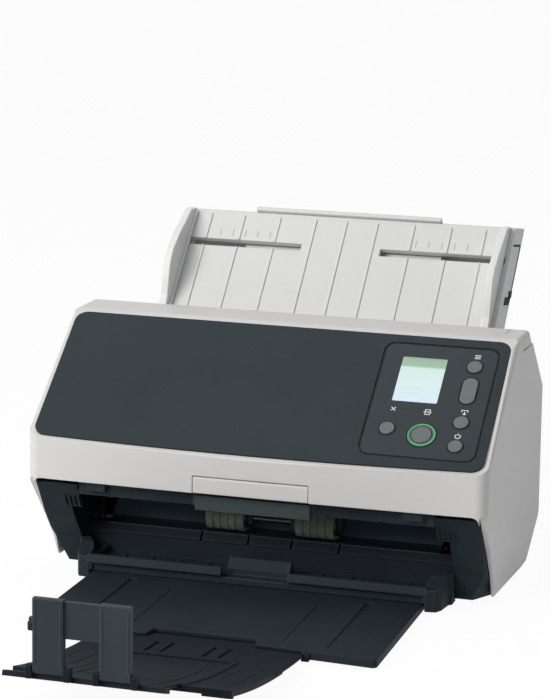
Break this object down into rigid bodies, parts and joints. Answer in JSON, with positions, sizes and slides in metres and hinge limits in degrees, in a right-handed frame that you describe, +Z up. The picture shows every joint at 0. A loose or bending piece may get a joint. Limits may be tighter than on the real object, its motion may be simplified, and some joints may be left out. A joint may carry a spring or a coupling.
{
  "type": "document scanner",
  "caption": "Desktop sheet-feed document scanner: hinged cover with operator panel, inclined chute with side guides, and a pull-out stacker with sliding extensions and a folding stopper.",
  "frame": {"origin": "on the desk, under the middle of the whole object as it stands with its stacker pulled out", "axes": "+X to the right of someone in front of the operator panel, +Y to the rear, away from the stacker, +Z up"},
  "size_m": [0.3, 0.5578, 0.2161],
  "materials": {
    "shell_plastic": "fine satin grain",
    "slate_plastic": "fine matt grain",
    "dark_plastic": "matt, moulded",
    "chute_plastic": "satin, moulded",
    "key_plastic": "satin",
    "ring_plastic": "translucent green",
    "screen_plastic": "lit screen",
    "scan_glass": "clear",
    "sensor_plastic": "matt",
    "olive_rubber": "matt rubber",
    "grey_rubber": "matt rubber",
    "steel": "turned",
    "board": "solder-masked board",
    "socket_metal": "folded sheet"
  },
  "bodies": {
    "base": {"base_pan": "dark_plastic", "rear_housing": "shell_plastic", "left_cheek": "dark_plastic", "right_cheek": "dark_plastic", "lower_guide": "dark_plastic", "chute_plate": "chute_plastic", "stacker_root": "dark_plastic", "lower_scan_unit": "sensor_plastic", "lower_scan_glass": "scan_glass", "main_board": "board", "drive_motor": "steel", "drive_belts": "grey_rubber", "power_inlet": "dark_plastic", "usb_socket": "socket_metal", "rubber_feet": "grey_rubber", "hinge_pins": "steel", "cover_catch": "dark_plastic", "rear_screws": "steel"},
    "cover": {"cover_shell": "shell_plastic", "dark_panel": "slate_plastic", "cover_frame": "dark_plastic", "operator_panel": "slate_plastic", "screen": "screen_plastic", "scan_ring": "ring_plastic", "panel_board": "board", "upper_scan_unit": "sensor_plastic", "upper_scan_glass": "scan_glass"},
    "feed_roller": {"feed_shaft": "steel", "feed_tyres": "grey_rubber"},
    "exit_roller": {"exit_shaft": "steel", "exit_tyres": "grey_rubber"},
    "pick_roller": {"pick_shaft": "steel", "pick_tyres": "grey_rubber"},
    "motor_wheel": {"motor_pulley": "steel"},
    "exit_idler": {"exit_idler_shaft": "steel", "exit_idler_tyres": "olive_rubber"},
    "feed_idler": {"feed_idler_shaft": "steel", "feed_idler_tyres": "olive_rubber"},
    "brake_roller": {"brake_roller_shaft": "steel", "brake_roller_tyres": "olive_rubber"},
    "release_tab": {"release_tab": "shell_plastic"},
    "front_tab": {"front_tab": "shell_plastic"},
    "menu_button": {"menu_button": "key_plastic"},
    "feed_button": {"feed_button": "key_plastic"},
    "power_button": {"power_button": "key_plastic"},
    "stop_button": {"stop_button": "key_plastic"},
    "scan_button": {"scan_button": "key_plastic"},
    "rocker": {"rocker": "key_plastic"},
    "left_guide": {"left_guide": "chute_plastic"},
    "right_guide": {"right_guide": "chute_plastic"},
    "chute_extension": {"chute_extension": "chute_plastic"},
    "stacker_plate": {"stacker_plate": "dark_plastic"},
    "first_extension": {"first_extension": "dark_plastic"},
    "second_extension": {"second_extension": "dark_plastic"},
    "stopper": {"stopper": "dark_plastic"}
  },
  "joints": [
    {"name": "cover_hinge", "type": "hinge", "parent": "base", "child": "cover", "pos_m": [0, 0.0477, 0.05], "axis": [1, 0, 0], "range_deg": [0, 45]},
    {"name": "release_tab_hinge", "type": "hinge", "parent": "cover", "child": "release_tab", "pos_m": [0, 0.1272, 0.1602], "axis": [1, 0, 0], "range_deg": [0, 10], "stiffness_Nm_per_rad": 0.05, "springref_deg": -5.73},
    {"name": "front_tab_hinge", "type": "hinge", "parent": "cover", "child": "front_tab", "pos_m": [0, 0.0213, 0.0768], "axis": [1, 0, 0], "range_deg": [-10, 0], "stiffness_Nm_per_rad": 0.02, "springref_deg": 5.73},
    {"name": "menu_press", "type": "slide", "parent": "cover", "child": "menu_button", "axis": [0, 0.6101, -0.7923], "range_m": [0, 0.0008], "stiffness_N_per_m": 300, "springref_m": -0.0005},
    {"name": "feed_press", "type": "slide", "parent": "cover", "child": "feed_button", "axis": [0, 0.6101, -0.7923], "range_m": [0, 0.0008], "stiffness_N_per_m": 300, "springref_m": -0.0005},
    {"name": "power_press", "type": "slide", "parent": "cover", "child": "power_button", "axis": [0, 0.6101, -0.7923], "range_m": [0, 0.0008], "stiffness_N_per_m": 300, "springref_m": -0.0005},
    {"name": "stop_press", "type": "slide", "parent": "cover", "child": "stop_button", "axis": [0, 0.6101, -0.7923], "range_m": [0, 0.0008], "stiffness_N_per_m": 300, "springref_m": -0.0005},
    {"name": "scan_press", "type": "slide", "parent": "cover", "child": "scan_button", "axis": [0, 0.6101, -0.7923], "range_m": [0, 0.0008], "stiffness_N_per_m": 300, "springref_m": -0.0005},
    {"name": "rocker_rock", "type": "hinge", "parent": "cover", "child": "rocker", "pos_m": [0, 0.0753, 0.13165], "axis": [1, 0, 0], "range_deg": [-3, 3], "stiffness_Nm_per_rad": 0.05},
    {"name": "feed_spin", "type": "hinge", "parent": "base", "child": "feed_roller", "pos_m": [0, 0.1268, 0.07526], "axis": [1, 0, 0], "continuous": true},
    {"name": "exit_spin", "type": "hinge", "parent": "base", "child": "exit_roller", "pos_m": [0, 0.08601, 0.02856], "axis": [1, 0, 0], "continuous": true},
    {"name": "pick_spin", "type": "hinge", "parent": "base", "child": "pick_roller", "pos_m": [0, 0.15406, 0.1019], "axis": [1, 0, 0], "continuous": true},
    {"name": "motor_spin", "type": "hinge", "parent": "base", "child": "motor_wheel", "pos_m": [0, 0.1537, 0.036], "axis": [1, 0, 0], "continuous": true},
    {"name": "exit_idler_spin", "type": "hinge", "parent": "cover", "child": "exit_idler", "pos_m": [0, 0.07219, 0.04064], "axis": [1, 0, 0], "continuous": true},
    {"name": "feed_idler_spin", "type": "hinge", "parent": "cover", "child": "feed_idler", "pos_m": [0, 0.11373, 0.08667], "axis": [1, 0, 0], "continuous": true},
    {"name": "brake_spin", "type": "hinge", "parent": "cover", "child": "brake_roller", "pos_m": [0, 0.13798, 0.11595], "axis": [1, 0, 0], "continuous": true},
    {"name": "right_guide_slide", "type": "slide", "parent": "base", "child": "right_guide", "axis": [-1, 0, 0], "range_m": [0, 0.075]},
    {"name": "left_guide_slide", "type": "slide", "parent": "base", "child": "left_guide", "axis": [1, 0, 0], "range_m": [0, 0.075]},
    {"name": "chute_extension_slide", "type": "slide", "parent": "base", "child": "chute_extension", "axis": [0, 0.7071, 0.7071], "range_m": [0, 0.09]},
    {"name": "stacker_slide", "type": "slide", "parent": "base", "child": "stacker_plate", "axis": [0, 1, 0], "range_m": [0, 0.09]},
    {"name": "first_extension_slide", "type": "hinge", "parent": "stacker_plate", "child": "first_extension", "pos_m": [0, -0.0255, 0.7736], "axis": [1, 0, 0], "range_deg": [0, 2.6]},
    {"name": "second_extension_slide", "type": "hinge", "parent": "first_extension", "child": "second_extension", "pos_m": [0, -0.0255, 0.7736], "axis": [1, 0, 0], "range_deg": [0, 2.2]},
    {"name": "stopper_fold", "type": "hinge", "parent": "second_extension", "child": "stopper", "pos_m": [0, -0.2763, 0.0483], "axis": [1, 0, 0], "range_deg": [-100, 0]}
  ],
  "couplings": [
    {"joint": "exit_spin", "follows": "feed_spin", "ratio": 1},
    {"joint": "pick_spin", "follows": "feed_spin", "ratio": 1},
    {"joint": "motor_spin", "follows": "feed_spin", "ratio": 1},
    {"joint": "left_guide_slide", "follows": "right_guide_slide", "ratio": 1}
  ]
}
